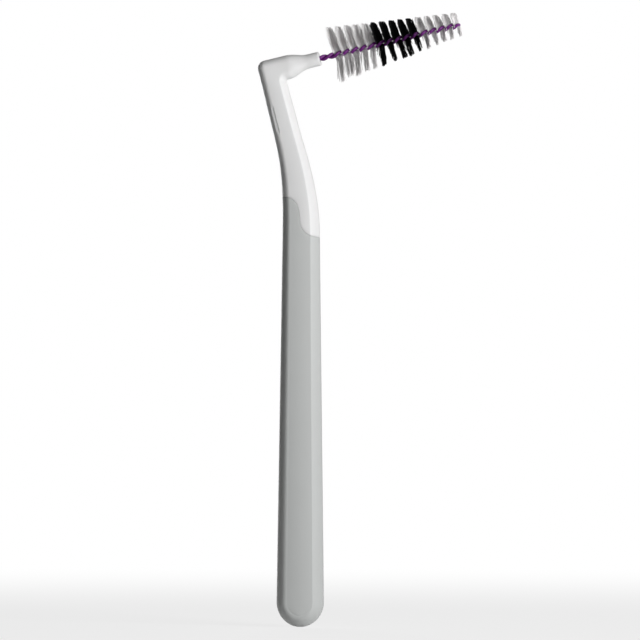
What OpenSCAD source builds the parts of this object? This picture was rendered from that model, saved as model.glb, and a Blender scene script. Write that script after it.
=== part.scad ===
// Angled interdental brush. A two-shot moulded handle carries a conical brush of
// nylon filaments, which are held in a twisted, coated steel wire.
// Sizes are in millimetres. +X is the way the brush points, +Y is across the
// handle, +Z is up the handle, and the origin is the lowest point of the grip.

/* [Grip] */
// Height of the grip's upper edge at the front
grip_front_height = 74; // [64:1:78]
// How much higher the grip reaches at the back
seam_rise = 8.2; // [4:0.2:12]
// Width of the grip just above its round end
grip_end_width = 9; // [7.6:0.1:12]
// Width of the grip at its front upper edge
grip_top_width = 7.1; // [6.4:0.1:8.6]
// Thickness of the grip just above its round end
grip_end_depth = 7.2; // [5.4:0.1:9]
// Thickness of the grip at its front upper edge
grip_top_depth = 5.8; // [4.8:0.1:7]
// Height of the round end
grip_end_height = 4.8; // [3.5:0.1:6]
// How far the narrow edges bow out near the round end
grip_end_bow = 1.8; // [1:0.05:2.4]
// How far the narrow edges bow out at the upper edge
grip_top_bow = 1.5; // [1:0.05:2]

/* [Neck] */
// Length of the handle's centre line, from its end to the axis of the brush
handle_length = 106.4; // [102:0.2:116]
// Length of the centre line where the neck starts to bend
bend_start = 75; // [70:0.5:80]
// Radius of the bend
bend_radius = 64; // [50:1:76]
// Angle that the neck leans back
neck_lean = 14.5; // [8:0.5:18]
// Length of the centre line where the neck has reached its slim width
waist_end = 95.5; // [92:0.5:98]
// Width of the neck above the waist
neck_width = 5; // [4.4:0.1:6]
// Thickness of the neck above the waist
neck_depth = 4.4; // [3.4:0.1:5.4]
// How far the neck's narrow edges bow out
neck_bow = 1.15; // [0.8:0.05:1.6]
// Length of the centre line at the notch's middle
notch_middle = 97; // [94:0.5:100]
// Length of the shallow notch in the neck's back creases
notch_length = 5.6; // [3:0.1:7]
// Distance of the notch's wall from the neck's centre line
notch_offset = 1.08; // [0.8:0.02:1.4]
// Depth of the notch below the neck's broad side
notch_depth = 0.22; // [0.1:0.02:0.3]

/* [Head] */
// Angle between the neck and the brush
head_angle = 91; // [85:1:100]
// Width of the neck where it meets the head
elbow_width = 4.76; // [4.2:0.02:5.4]
// Height of the head, across the axis of the brush
head_height = 4.56; // [4:0.02:5.2]
// How far the head's thick part sits below the axis of the brush
head_drop = 0.16; // [0:0.02:0.3]
// Thickness of the head
head_depth = 4.2; // [3.4:0.1:5]
// Radius of the rounded outer corner
corner_radius = 1.5; // [0.8:0.05:1.8]
// Radius of the fillet in the inner corner
inner_radius = 0.3; // [0.2:0.05:0.6]
// Distance from the neck's centre line to the front of the nose
head_reach = 9.6; // [8.6:0.1:12]
// Diameter of the nose
nose_diameter = 2.7; // [2.2:0.05:3]
// Length of the cylindrical nose
nose_length = 2.3; // [1.4:0.1:2.8]
// Radius on the rim of the nose
nose_rim_radius = 0.2; // [0.1:0.02:0.4]
// Length of the smooth flare behind the nose
flare_length = 4; // [3:0.1:4.6]
// Depth of the wire's socket, from the front of the nose
socket_depth = 7.4; // [5:0.1:8.4]

/* [Tang] */
// Height at which the core's tang ends inside the grip
tang_bottom = 9; // [7:0.5:14]
// Width of the tang
tang_width = 3.6; // [3:0.1:4.6]
// Thickness of the tang
tang_depth = 2.6; // [1.8:0.1:3.2]
// Length by which the tang runs up into the neck
tang_overlap = 1; // [0.5:0.5:3]
// Number of locking windows in the tang
window_count = 4; // [2:1:5]
// Length of a locking window
window_length = 6; // [4:0.5:8]
// Width of a locking window
window_width = 1.8; // [1.2:0.1:2.2]

/* [Wire] */
// Diameter of the steel wire
steel_diameter = 0.34; // [0.26:0.02:0.42]
// Thickness of the wire's coating
coating_thickness = 0.13; // [0.08:0.01:0.15]
// Length of one full turn of the twisted pair
twist_pitch = 3.36; // [2.6:0.02:4.4]

/* [Bristles] */
// Bare wire between the nose and the first filament
bare_wire = 2.75; // [1.5:0.05:4]
// Length of the rear filament section
rear_length = 8.2; // [6:0.1:10]
// Length of the dark middle filament section
middle_length = 8.4; // [6:0.1:10]
// Length of the filament section at the tip
tip_length = 7.5; // [5:0.1:9]
// Radius of the brush at the first filament
rear_radius = 5.65; // [4.6:0.05:6.4]
// Radius of the brush at the last filament
tip_radius = 2.2; // [1.8:0.05:3.6]
// Thickness of the filament layer that the wires pinch
filament_layer = 0.09; // [0.07:0.01:0.12]
// Width of a strand at its free end
strand_tip_width = 0.16; // [0.1:0.01:0.2]
// Angle by which the filaments lean back towards the handle
filament_lean = 4.5; // [0:0.5:8]

/* [Hidden] */

// One overrun serves every cut that has to pass a surface
overrun = 1;

// Counts of steps along the smooth shapes
end_steps = 7;
waist_steps = 8;
fan_steps = 10;
flare_steps = 8;
edge_steps = 8;
seam_steps = 12;
wire_sides = 6;
wire_steps_per_turn = 9;
wire_fold_steps = 6;
strands_per_turn = 28;

// Shares of the sizes that they follow
end_angle_share = 0.07;
fan_corner_start_share = 0.3;
fan_corner_end_share = 0.7;
nose_bow_share = 0.96;
seam_power = 2.6;
seam_slope_share = 0.35;
strand_fill_share = 0.8;
strand_root_share = 1.2;

// How far the nose sinks into the flare, and the tiny shoulder that covers it
nose_sink = 0.6;
nose_shoulder = 0.06;
// Bare wire between the last filament and the fold at the tip
fold_margin = 0.05;
// Distance from the nose to the first filament that points straight up
first_upright = 3.3;

// The frame of the head: the brush's axis rises by brush_rise from level
brush_rise = neck_lean - (head_angle - 90);
square_error = neck_lean - brush_rise;
bend_arc = bend_radius * neck_lean * PI / 180;
elbow_half = elbow_width / 2;
head_half = head_height / 2;
nose_radius = nose_diameter / 2;
flare_start = head_reach - nose_length - flare_length;
flare_end = head_reach - nose_length;

// The twisted pair
coated_radius = steel_diameter / 2 + coating_thickness;
wire_offset = coated_radius + filament_layer / 2;
pair_radius = wire_offset + coated_radius;
wire_back = -socket_depth;
bristle_end = bare_wire + rear_length + middle_length + tip_length;
wire_front = bristle_end + fold_margin;

// The filament strands
strand_pitch = twist_pitch / strands_per_turn;
rear_strands = round(rear_length / strand_pitch);
middle_strands = round(middle_length / strand_pitch);
tip_strands = round(tip_length / strand_pitch);
strand_root = strand_root_share * wire_offset;

// The tang
tang_top = grip_front_height + seam_rise + tang_overlap;
window_pitch = (grip_front_height - tang_bottom) / (window_count + 1);

// Small helpers
function mix(a, b, t) = a + (b - a) * t;
function clamp01(t) = min(max(t, 0), 1);
function smooth(t) = let (c = clamp01(t)) c * c * (3 - 2 * c);
function unit(v) = v / norm(v);

// The handle's centre line, as a point for a length along it
function lean_at(s) = min(max((s - bend_start) / bend_radius * 180 / PI, 0), neck_lean);
function centre_at(s) =
    let (q = lean_at(s), rest = max(s - bend_start - bend_arc, 0))
    [-bend_radius * (1 - cos(q)) - rest * sin(neck_lean),
     min(s, bend_start) + bend_radius * sin(q) + rest * cos(neck_lean)];
function left_of(s) = let (q = lean_at(s)) [-cos(q), -sin(q)];

// The elbow, where the centre line meets the brush's axis
elbow = centre_at(handle_length);
function head_point(u, v) =
    elbow + u * [cos(brush_rise), sin(brush_rise)] + v * [-sin(brush_rise), cos(brush_rise)];

// Centres of the corner's two arcs in the head's own frame, and where they start
outer_v = head_half - head_drop - corner_radius;
outer_u = (corner_radius - elbow_half - outer_v * sin(square_error)) / cos(square_error);
inner_v = -head_half - head_drop - inner_radius;
inner_u = (elbow_half + inner_radius - inner_v * sin(square_error)) / cos(square_error);
fan_base = handle_length - inner_u * sin(square_error) + inner_v * cos(square_error);

// Width, thickness and bow of the handle, for a length along its centre line
function stage(s, end, top, slim, last) =
    s <= grip_front_height
        ? mix(end, top, (s - grip_end_height) / (grip_front_height - grip_end_height))
    : s <= waist_end
        ? mix(top, slim, smooth((s - grip_front_height) / (waist_end - grip_front_height)))
        : mix(slim, last, (s - waist_end) / (fan_base - waist_end));
function width_at(s) = stage(s, grip_end_width, grip_top_width, neck_width, elbow_width);
function depth_at(s) = stage(s, grip_end_depth, grip_top_depth, neck_depth, head_depth);
function bow_at(s) = stage(s, grip_end_bow, grip_top_bow, neck_bow, neck_bow);

// A station is [left rail point, right rail point, thickness, bow]
function shaft_station(s) =
    let (c = centre_at(s), n = left_of(s) * width_at(s) / 2)
    [c + n, c - n, depth_at(s), bow_at(s)];
function end_station(q) =
    let (x = grip_end_width / 2 * sin(q),
         z = grip_end_height * (1 - cos(q) / cos(90 * end_angle_share)))
    [[-x, z], [x, z], grip_end_depth, grip_end_bow];
function fan_station(t) =
    let (q = mix(180 + square_error, 90, t),
         a = clamp01((t - fan_corner_start_share)
                     / (fan_corner_end_share - fan_corner_start_share)),
         p = mix(180 + square_error, 90, a),
         arc = head_point(outer_u + corner_radius * cos(p), outer_v + corner_radius * sin(p)),
         foot = head_point(inner_u - inner_radius * cos(square_error)
                               - elbow_width * cos(square_error),
                           inner_v - inner_radius * sin(square_error)
                               - elbow_width * sin(square_error)),
         crest = head_point(inner_u, head_half - head_drop),
         left = t < fan_corner_start_share ? mix(foot, arc, t / fan_corner_start_share)
              : t > fan_corner_end_share
                  ? mix(arc, crest, (t - fan_corner_end_share) / (1 - fan_corner_end_share))
                  : arc)
    [left, head_point(inner_u + inner_radius * cos(q), inner_v + inner_radius * sin(q)),
     head_depth, neck_bow];
function flare_station(t) =
    let (u = mix(inner_u, flare_end, t), k = smooth((u - flare_start) / (flare_end - flare_start)),
         e = nose_radius + nose_shoulder, h = mix(head_half, e, k), v = -head_drop * (1 - k))
    [head_point(u, v + h), head_point(u, v - h), mix(head_depth, 2 * e, k),
     mix(neck_bow, e * nose_bow_share, k)];

stations = concat(
    [for (i = [0 : end_steps - 1]) end_station(90 * mix(end_angle_share, 1, i / end_steps))],
    [shaft_station(grip_end_height)],
    [for (i = [0 : waist_steps]) shaft_station(mix(grip_front_height, waist_end, i / waist_steps))],
    [for (i = [0 : fan_steps]) fan_station(i / fan_steps)],
    [for (i = [1 : flare_steps]) flare_station(i / flare_steps)]);

// Unit vector that points out of the material at a rail's station
function rail_normal(rail, side, i) =
    let (a = stations[max(i - 1, 0)][rail], b = stations[min(i + 1, len(stations) - 1)][rail],
         d = unit(b - a))
    side * [-d[1], d[0]];

// One ring of the handle: the left edge from +Y to -Y, then the right edge back again
function edge_points(i, rail, side, y_side) =
    let (s = stations[i], half = s[2] / 2, bow = s[3], n = rail_normal(rail, side, i),
         r = (half * half + bow * bow) / (2 * bow), reach = asin(min(half / r, 1)))
    [for (j = [0 : edge_steps])
        let (q = y_side * reach * (1 - 2 * j / edge_steps), p = s[rail] - n * r * (1 - cos(q)))
        [p[0], r * sin(q), p[1]]];
function ring_points(i) = concat(edge_points(i, 0, 1, 1), edge_points(i, 1, -1, -1));

// Triangles between rings of m points each, with both ends closed by strips
function tube_faces(rings, m) = [for (i = [0 : rings - 2], j = [0 : m - 1])
    let (a = i * m + j, b = i * m + (j + 1) % m) each [[a, b, b + m], [a, b + m, a + m]]];
function strip_faces(base, m, turned) = [for (j = [0 : m / 2 - 2])
    let (a = base + j, b = base + j + 1, c = base + m - 2 - j, d = base + m - 1 - j)
    each turned ? [[a, d, c], [a, c, b]] : [[a, c, d], [a, b, c]]];

// The whole handle without its seam: grip, neck, elbow and flare in one skin
module handle_blank() {
    count = len(stations);
    m = 2 * (edge_steps + 1);
    polyhedron(
        points = [for (i = [0 : count - 1]) each ring_points(i)],
        faces = flipped(concat(tube_faces(count, m), strip_faces(0, m, true),
                               strip_faces((count - 1) * m, m, false))));
}

// The region below the seam, which sweeps up from front to back in one S curve
function seam_point(t) =
    let (side = t < 0 ? -1 : 1, half = grip_top_width / 2,
         fall = seam_slope_share * t + (1 - seam_slope_share) * sin(90 * t))
    [side * half * pow(abs(t), seam_power), grip_front_height + seam_rise * (1 - fall) / 2];
module below_seam() {
    reach = grip_end_width;
    rotate([90, 0, 0])
        linear_extrude(height = 2 * reach, center = true)
            polygon(concat(
                [[-reach, -overrun], [-reach, seam_point(-1)[1]]],
                [for (i = [-seam_steps : seam_steps]) seam_point(i / seam_steps)],
                [[reach, seam_point(1)[1]], [reach, -overrun]]));
}

// Round-ended slot through the thickness of the tang
module window_slot(length, width, depth) {
    for (z = [-1, 1] * (length - width) / 2)
        translate([0, 0, z])
            rotate([90, 0, 0])
                cylinder(h = depth, d = width, center = true, $fn = 32);
    cube([width, depth, length - width], center = true);
}

// The core's tang, with windows that the grip material flows through
module tang() {
    difference() {
        union() {
            translate([-tang_width / 2, -tang_depth / 2, tang_bottom + tang_width / 2])
                cube([tang_width, tang_depth, tang_top - tang_bottom - tang_width / 2]);
            translate([0, 0, tang_bottom + tang_width / 2])
                rotate([90, 0, 0])
                    cylinder(h = tang_depth, d = tang_width, center = true, $fn = 48);
        }
        for (i = [1 : window_count])
            translate([0, 0, tang_bottom + i * window_pitch])
                window_slot(window_length, window_width, tang_depth + 2 * overrun);
    }
}

// Places its children on the nose, with their own Z along the brush's axis
module at_nose() {
    front = head_point(head_reach, 0);
    translate([front[0], 0, front[1]])
        rotate([0, 90 - brush_rise, 0])
            children();
}

// Turned nose with a rounded rim, long enough to sink into the flare
module nose() {
    length = nose_length + nose_sink;
    rotate_extrude($fn = 64) {
        square([nose_radius - nose_rim_radius, length]);
        square([nose_radius, length - nose_rim_radius]);
        translate([nose_radius - nose_rim_radius, length - nose_rim_radius])
            circle(r = nose_rim_radius, $fn = 32);
    }
}

// Shallow notches in the neck's back creases, one on each broad side
module witness_notches() {
    centre = centre_at(notch_middle);
    for (face = [-1, 1])
        translate([centre[0], face * depth_at(notch_middle) / 2, centre[1]])
            rotate([0, -neck_lean, 0])
                translate([-notch_offset - neck_width / 2, 0, 0])
                    cube([neck_width, 2 * notch_depth, notch_length], center = true);
}

module handle_core() {
    color("whitesmoke")
        difference() {
            union() {
                difference() {
                    handle_blank();
                    below_seam();
                }
                tang();
                at_nose() translate([0, 0, -nose_length - nose_sink]) nose();
            }
            at_nose()
                translate([0, 0, -socket_depth])
                    cylinder(h = socket_depth + overrun, r = pair_radius, $fn = 48);
            witness_notches();
        }
}

module handle_grip() {
    color("darkgray")
        difference() {
            intersection() {
                handle_blank();
                below_seam();
            }
            tang();
        }
}

// The twisted pair. Angles are measured from straight up towards +Y
function twist_at(z) = 360 * (z - first_upright) / twist_pitch;
function across(q) = [-cos(q), sin(q), 0];

// A wire's path point and its outward normal, up one leg, round the fold, down the other
leg_steps = ceil((wire_front - wire_back) / twist_pitch * wire_steps_per_turn);
function leg_frame(z, side) =
    let (n = side * across(twist_at(z) + 90)) [n * wire_offset + [0, 0, z], n];
function fold_frame(q) =
    let (n = across(twist_at(wire_front) + 90) * cos(q) + [0, 0, sin(q)])
    [n * wire_offset + [0, 0, wire_front], n];
wire_frames = concat(
    [for (i = [0 : leg_steps]) leg_frame(mix(wire_back, wire_front, i / leg_steps), 1)],
    [for (i = [1 : wire_fold_steps - 1]) fold_frame(180 * i / wire_fold_steps)],
    [for (i = [0 : leg_steps]) leg_frame(mix(wire_front, wire_back, i / leg_steps), -1)]);
function wire_ring(i, r) =
    let (last = len(wire_frames) - 1, n = wire_frames[i][1],
         t = unit(wire_frames[min(i + 1, last)][0] - wire_frames[max(i - 1, 0)][0]),
         b = unit(cross(t, n)), m = cross(b, t))
    [for (j = [0 : wire_sides - 1])
        let (q = 360 * j / wire_sides) wire_frames[i][0] + r * (m * cos(q) + b * sin(q))];
function wire_points(r) = [for (i = [0 : len(wire_frames) - 1]) each wire_ring(i, r)];
function disc_faces(base, m, turned) = [for (j = [1 : m - 2])
    turned ? [base, base + j + 1, base + j] : [base, base + j, base + j + 1]];
function flipped(faces) = [for (f = faces) [f[0], f[2], f[1]]];
function shifted(faces, by) = [for (f = faces) [f[0] + by, f[1] + by, f[2] + by]];
function annulus_faces(outer, inner, m, turned) = [for (j = [0 : m - 1])
    let (k = (j + 1) % m, a = outer + j, b = outer + k, c = inner + k, d = inner + j)
    each turned ? [[a, c, b], [a, d, c]] : [[a, b, c], [a, c, d]]];

module wire_core() {
    rings = len(wire_frames);
    color("silver")
        at_nose()
            polyhedron(
                points = wire_points(steel_diameter / 2),
                faces = flipped(concat(
                    tube_faces(rings, wire_sides),
                    disc_faces(0, wire_sides, true),
                    disc_faces((rings - 1) * wire_sides, wire_sides, false))));
}

module wire_coating() {
    rings = len(wire_frames);
    total = rings * wire_sides;
    last = total - wire_sides;
    color("purple")
        at_nose()
            polyhedron(
                points = concat(wire_points(coated_radius), wire_points(steel_diameter / 2)),
                faces = concat(
                    flipped(tube_faces(rings, wire_sides)),
                    shifted(tube_faces(rings, wire_sides), total),
                    annulus_faces(0, total, wire_sides, false),
                    annulus_faces(last, total + last, wire_sides, true)));
}

// A pair of strands leaves a twisted ribbon, the pinched middle of the filament layer,
// at every step. Each step is a thick slab that carries the pair and a thin gap.
function brush_radius(z) =
    mix(rear_radius, tip_radius, (z - bare_wire) / (bristle_end - bare_wire));
function ribbon_ring(z) =
    let (q = twist_at(z), along = across(q) * strand_root,
         wide = across(q + 90) * filament_layer / 2, up = [0, 0, z])
    [up + along + wide, up + along - wide, up - along - wide, up - along + wide];
function strand_tip(z, side) =
    let (q = twist_at(z), out = brush_radius(z), half = strand_pitch * strand_fill_share / 2,
         c = across(q) * side * out
             + [0, 0, z - (out - strand_root) * tan(filament_lean)],
         wide = across(q + 90) * side * strand_tip_width / 2, up = [0, 0, half])
    [c + wide - up, c - wide - up, c - wide + up, c + wide + up];
function slab_start(first, i) = bare_wire + (first + i) * strand_pitch;
function bristle_points(first, count) = concat(
    [for (i = [0 : count - 1]) each concat(
        ribbon_ring(slab_start(first, i)),
        ribbon_ring(slab_start(first, i) + strand_pitch * strand_fill_share))],
    ribbon_ring(slab_start(first, count)),
    [for (i = [0 : count - 1]) let (z = slab_start(first, i) + strand_pitch * strand_fill_share / 2)
        each concat(strand_tip(z, 1), strand_tip(z, -1))]);

// The four sides and the end of one strand, from its base quad to its tip quad
function strand_faces(base, tip) = [for (j = [0 : 3])
    let (k = (j + 1) % 4) each [[base[j], base[k], tip + k], [base[j], tip + k, tip + j]]];
function quad_faces(a, b, c, d) = [[a, b, c], [a, c, d]];
function ring_side(a, j) = let (k = (j + 1) % 4) quad_faces(a + j, a + k, a + 4 + k, a + 4 + j);
function bristle_faces(count) =
    let (tips = 4 * (2 * count + 1)) concat(
    [for (i = [0 : count - 1]) let (a = 8 * i, t = tips + 8 * i) each concat(
        ring_side(a, 1), ring_side(a, 3), ring_side(a + 4, 0), ring_side(a + 4, 1),
        ring_side(a + 4, 2), ring_side(a + 4, 3),
        strand_faces([a, a + 1, a + 5, a + 4], t), quad_faces(t, t + 1, t + 2, t + 3),
        strand_faces([a + 2, a + 3, a + 7, a + 6], t + 4),
        quad_faces(t + 4, t + 5, t + 6, t + 7))],
    quad_faces(0, 3, 2, 1), quad_faces(8 * count, 8 * count + 1, 8 * count + 2, 8 * count + 3));

module bristle_section(first, count) {
    at_nose()
        polyhedron(points = bristle_points(first, count), faces = flipped(bristle_faces(count)));
}

module rear_bristles() {
    color("gainsboro") bristle_section(0, rear_strands);
}

module middle_bristles() {
    color("black") bristle_section(rear_strands, middle_strands);
}

module tip_bristles() {
    color("gainsboro") bristle_section(rear_strands + middle_strands, tip_strands);
}

handle_core();
handle_grip();
wire_core();
wire_coating();
rear_bristles();
middle_bristles();
tip_bristles();
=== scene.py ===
import math

import bmesh
import bpy
import numpy as np
from bpy.props import FloatProperty, FloatVectorProperty, IntProperty, PointerProperty
from mathutils import Matrix, Vector


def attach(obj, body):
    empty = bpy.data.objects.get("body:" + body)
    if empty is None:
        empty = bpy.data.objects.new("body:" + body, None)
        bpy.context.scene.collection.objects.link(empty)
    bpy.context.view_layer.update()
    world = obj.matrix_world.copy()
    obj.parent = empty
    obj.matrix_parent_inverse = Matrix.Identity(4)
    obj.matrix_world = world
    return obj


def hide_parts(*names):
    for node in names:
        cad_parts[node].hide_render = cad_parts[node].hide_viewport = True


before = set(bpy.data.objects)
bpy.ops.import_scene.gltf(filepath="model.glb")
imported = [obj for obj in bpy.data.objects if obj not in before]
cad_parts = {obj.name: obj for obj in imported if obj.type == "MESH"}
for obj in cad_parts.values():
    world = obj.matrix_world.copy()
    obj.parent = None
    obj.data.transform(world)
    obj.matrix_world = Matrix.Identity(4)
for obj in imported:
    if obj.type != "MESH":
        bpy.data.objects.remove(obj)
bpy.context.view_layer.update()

bl_info = {
    "name": "Interdental brush",
    "version": (1, 0, 0),
    "blender": (4, 5, 0),
    "location": "View3D > Sidebar > Brush",
    "description": "Builds an angled interdental brush: two-shot handle, twisted wire and filaments",
    "category": "Add Mesh",
}

MM = 0.001
# Width and height of the photograph in pixels
PHOTO_SIDE = 640


def srgb(code):
    """Linear colour of an sRGB hex value such as "8A8B8C": the standard curve, channel by channel."""
    channels = [int(code[i:i + 2], 16) / 255 for i in (0, 2, 4)]
    return [c / 12.92 if c <= 0.04045 else ((c + 0.055) / 1.055) ** 2.4 for c in channels]


def size(name, value, text):
    """A length property in metres, given here in millimetres."""
    return FloatProperty(name=name, description=text, default=value * MM, min=0,
                         subtype="DISTANCE", unit="LENGTH", precision=5)


def angle(name, value, text):
    """An angle property, given here in degrees."""
    return FloatProperty(name=name, description=text, default=math.radians(value),
                         subtype="ANGLE", unit="ROTATION")


def factor(name, value, text, most=1.0):
    """A share of something, from 0 to the most that it may be."""
    return FloatProperty(name=name, description=text, default=value, min=0, max=most, subtype="FACTOR")


def amount(name, value, text):
    """A plain number of at least 0."""
    return FloatProperty(name=name, description=text, default=value, min=0)


def whole(name, value, text):
    """A whole number of at least 1."""
    return IntProperty(name=name, description=text, default=value, min=1)


def tint(name, code, text):
    """A colour property from an sRGB hex value."""
    return FloatVectorProperty(name=name, description=text, size=3, subtype="COLOR",
                               min=0, max=1, default=srgb(code))


class HandleSettings(bpy.types.PropertyGroup):
    """Sizes of the two mouldings, measured along the handle's centre line."""
    grip_front_height: size("Grip height", 74, "Height of the grip's upper edge at the front")
    seam_rise: size("Seam rise", 8.2, "How much higher the grip reaches at the back")
    seam_gap: size("Parting gap", 0.016, "Gap between the two mouldings along the seam")
    seam_round: size("Parting edge", 0.06, "Radius of each moulding's edge along the seam")
    grip_end_width: size("End width", 9, "Width of the grip just above its round end")
    grip_top_width: size("Top width", 7.1, "Width of the grip at its front upper edge")
    grip_end_depth: size("End thickness", 7.2, "Thickness of the grip just above its round end")
    grip_top_depth: size("Top thickness", 5.8, "Thickness of the grip at its front upper edge")
    grip_end_height: size("Round end", 4.8, "Height of the round end")
    grip_end_bow: size("End bow", 1.8, "How far the narrow edges bow out near the round end")
    grip_top_bow: size("Top bow", 1.5, "How far the narrow edges bow out at the upper edge")
    handle_length: size("Handle length", 106.4, "Length of the centre line up to the brush's axis")
    bend_start: size("Bend start", 75, "Length of the centre line where the neck starts to bend")
    bend_radius: size("Bend radius", 64, "Radius of the bend")
    neck_lean: angle("Neck lean", 14.5, "Angle that the neck leans back")
    waist_end: size("Waist end", 95.5, "Length of the centre line where the neck is slim")
    neck_width: size("Neck width", 5, "Width of the neck above the waist")
    neck_depth: size("Neck thickness", 4.4, "Thickness of the neck above the waist")
    neck_bow: size("Neck bow", 1.15, "How far the neck's narrow edges bow out")
    front_round: size("Front crease", 0.3, "Radius of the creases beside the front edge")
    back_end_round: size("Back crease, end", 1.4, "Radius of the back edge's creases near the round end")
    back_top_round: size("Back crease, top", 1.0, "Radius of the back edge's creases at the grip's top")
    neck_round: size("Neck crease", 1.0, "Radius of the creases on the neck's back edge")
    end_crown: size("End crown", 0.2, "How far the broad sides swell at their middle, near the round end")
    top_crown: size("Top crown", 0.1, "How far the broad sides swell at their middle, at the grip's top")
    neck_crown: size("Neck crown", 0.03, "How far the neck's broad sides swell at their middle")
    notch_middle: size("Notch place", 97, "Length of the centre line at the notch's middle")
    notch_length: size("Notch length", 5.6, "Length of the shallow notch in the neck's back creases")
    notch_depth: size("Notch depth", 0.22, "Depth of the notch below the neck's broad side")
    notch_wall: size("Notch wall", 0.14, "Width of the notch's sloping wall")
    notch_offset: size("Notch offset", 1.08, "Distance of the notch's wall from the neck's centre line")
    tang_bottom: size("Tang end", 9, "Height at which the core's tang ends inside the grip")
    tang_width: size("Tang width", 3.6, "Width of the tang")
    tang_depth: size("Tang thickness", 2.6, "Thickness of the tang")


class HeadSettings(bpy.types.PropertyGroup):
    """Sizes of the elbow, the head and the nose."""
    head_angle: angle("Head angle", 91, "Angle between the neck and the brush")
    elbow_width: size("Elbow width", 4.76, "Width of the neck where it meets the head")
    head_height: size("Head height", 4.56, "Height of the head, across the brush's axis")
    head_drop: size("Head drop", 0.16, "How far the head's thick part sits below the brush's axis")
    head_depth: size("Head thickness", 4.2, "Thickness of the head at the elbow")
    flare_depth: size("Flare thickness", 3.7, "Thickness of the head where its flare starts")
    head_round: size("Head crease", 1.5, "Radius of the creases on the head")
    corner_radius: size("Outer corner", 1.5, "Radius of the rounded outer corner")
    inner_radius: size("Inner corner", 0.3, "Radius of the fillet in the inner corner")
    head_reach: size("Head reach", 9.6, "Distance from the neck's centre line to the nose's front")
    nose_diameter: size("Nose diameter", 2.7, "Diameter of the nose")
    nose_length: size("Nose length", 2.3, "Length of the cylindrical nose")
    nose_rim: size("Nose rim", 0.2, "Radius on the rim of the nose")
    flare_length: size("Flare length", 4, "Length of the smooth flare behind the nose")
    socket_depth: size("Socket depth", 7.4, "Depth of the wire's socket")


class BrushSettings(bpy.types.PropertyGroup):
    """Sizes of the twisted wire and of the filaments."""
    steel_diameter: size("Wire diameter", 0.34, "Diameter of the steel wire")
    coating: size("Coating", 0.13, "Thickness of the wire's coating")
    twist_pitch: size("Twist pitch", 3.36, "Length of one full turn of the twisted pair")
    layer: size("Filament layer", 0.09, "Thickness of the filament layer between the wires")
    bare_wire: size("Bare wire", 2.75, "Bare wire between the nose and the first filament")
    first_upright: size("First upright", 3.3, "Distance from the nose to the first upright blade")
    rear_length: size("Rear length", 8.2, "Length of the rear filament section")
    middle_length: size("Middle length", 8.4, "Length of the dark middle filament section")
    tip_length: size("Tip length", 7.5, "Length of the filament section at the tip")
    fold_filaments: size("Fold filaments", 0.42, "How far the last filaments run into the wire's fold")
    rear_radius: size("Rear radius", 5.65, "Radius of the brush at the first filament")
    tip_radius: size("Tip radius", 2.2, "Radius of the brush at the last filament")
    trim_offset: size("Trim offset", 0.35, "How much further the brush reaches upwards at its tip")
    filament: size("Filament diameter", 0.12, "Diameter of one filament")
    lean: angle("Filament lean", 2.2, "Angle by which the filaments lean back to the handle")
    rear_lean: angle("Rear lean", 4, "How much more the lower filaments lean back at the rear end")
    swing: angle("Lean swing", 5.5, "How much more the filaments lean back on one side, less opposite")
    swing_turn: angle("Swing turn", 80, "Angle from straight up at which the filaments lean back most")
    gather: factor("Gathering", 1.1, "How strongly the filaments gather into upright blades", 1.5)
    gather_turn: angle("Gathering turn", 12, "Angle from straight up at which the blades gather")
    root_squeeze: factor("Root squeeze", 0.22, "How much a blade is narrowed at the wire", 0.9)
    upper_spread: factor("Upper spread", 0.22, "How much a blade is widened above the wire", 0.9)
    rear_spread: factor("Rear spread", 0.42, "How much more so in the middle of the rear section", 0.9)
    lower_squeeze: factor("Lower squeeze", 0.6, "How much a blade is narrowed below the wire", 0.9)
    blade_stray: angle("Blade stray", 3.5, "How far single lower blades lean out of line")
    blade_trim: factor("Blade trim", 0.05, "How much shorter single lower blades are", 0.3)
    thinning: factor("Thinning", 0.8, "Share left out of the white filaments square to the blades")
    blade_round: factor("Blade rounding", 0.4, "How much an upper blade is cut down at its sides", 0.9)
    blade_slope: factor("Blade slope", 0.25, "How much more it is cut down on the side nearer the tip", 0.9)
    lower_shift: size("Lower shift", 0.52, "How far the blades below the wire stand nearer the tip")
    tuft: size("Tuft", 0.24, "Length of wire over which filaments stray together")
    tuft_stray: angle("Tuft stray", 0.9, "How far the tufts lean and turn out of line")
    filament_stray: angle("Filament stray", 1.7, "How far single filaments turn out of line")
    lower_ragged: amount("Lower raggedness", 1.3, "How much more ragged the brush is below the wire")
    uneven_trim: factor("Uneven trim", 0.018, "Share by which single filaments are shorter", 0.2)
    bend_share: factor("Bend", 0.025, "Share of its length by which a filament bends aside", 0.2)
    rear_per_millimetre: whole("Rear per mm", 50, "White filaments to a millimetre on each side, at the rear")
    tip_per_millimetre: whole("Tip per mm", 84, "White filaments to a millimetre on each side, at the tip")
    black_per_millimetre: whole("Black per mm", 80, "Black filaments to a millimetre on each side")
    seed: whole("Seed", 4413, "Seed of the filaments' small differences")


class FinishSettings(bpy.types.PropertyGroup):
    """Colours of the materials."""
    core: tint("Core", "E0E0E0", "Moulded polypropylene of the core")
    grip: tint("Grip", "BDBFBE", "Moulded elastomer of the grip")
    coat: tint("Wire coat", "620F6E", "Coloured coat of the wire")
    steel: tint("Steel", "B8B8B6", "Drawn stainless steel of the wire")
    white_nylon: tint("White nylon", "FAF8F8", "Natural white filament")
    black_nylon: tint("Black nylon", "0A0A0B", "Black filament")
    floor: tint("Floor", "F4F4F4", "Plain pale floor")
    card: tint("Card", "1E1E1E", "Dark card at the back left")


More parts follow.
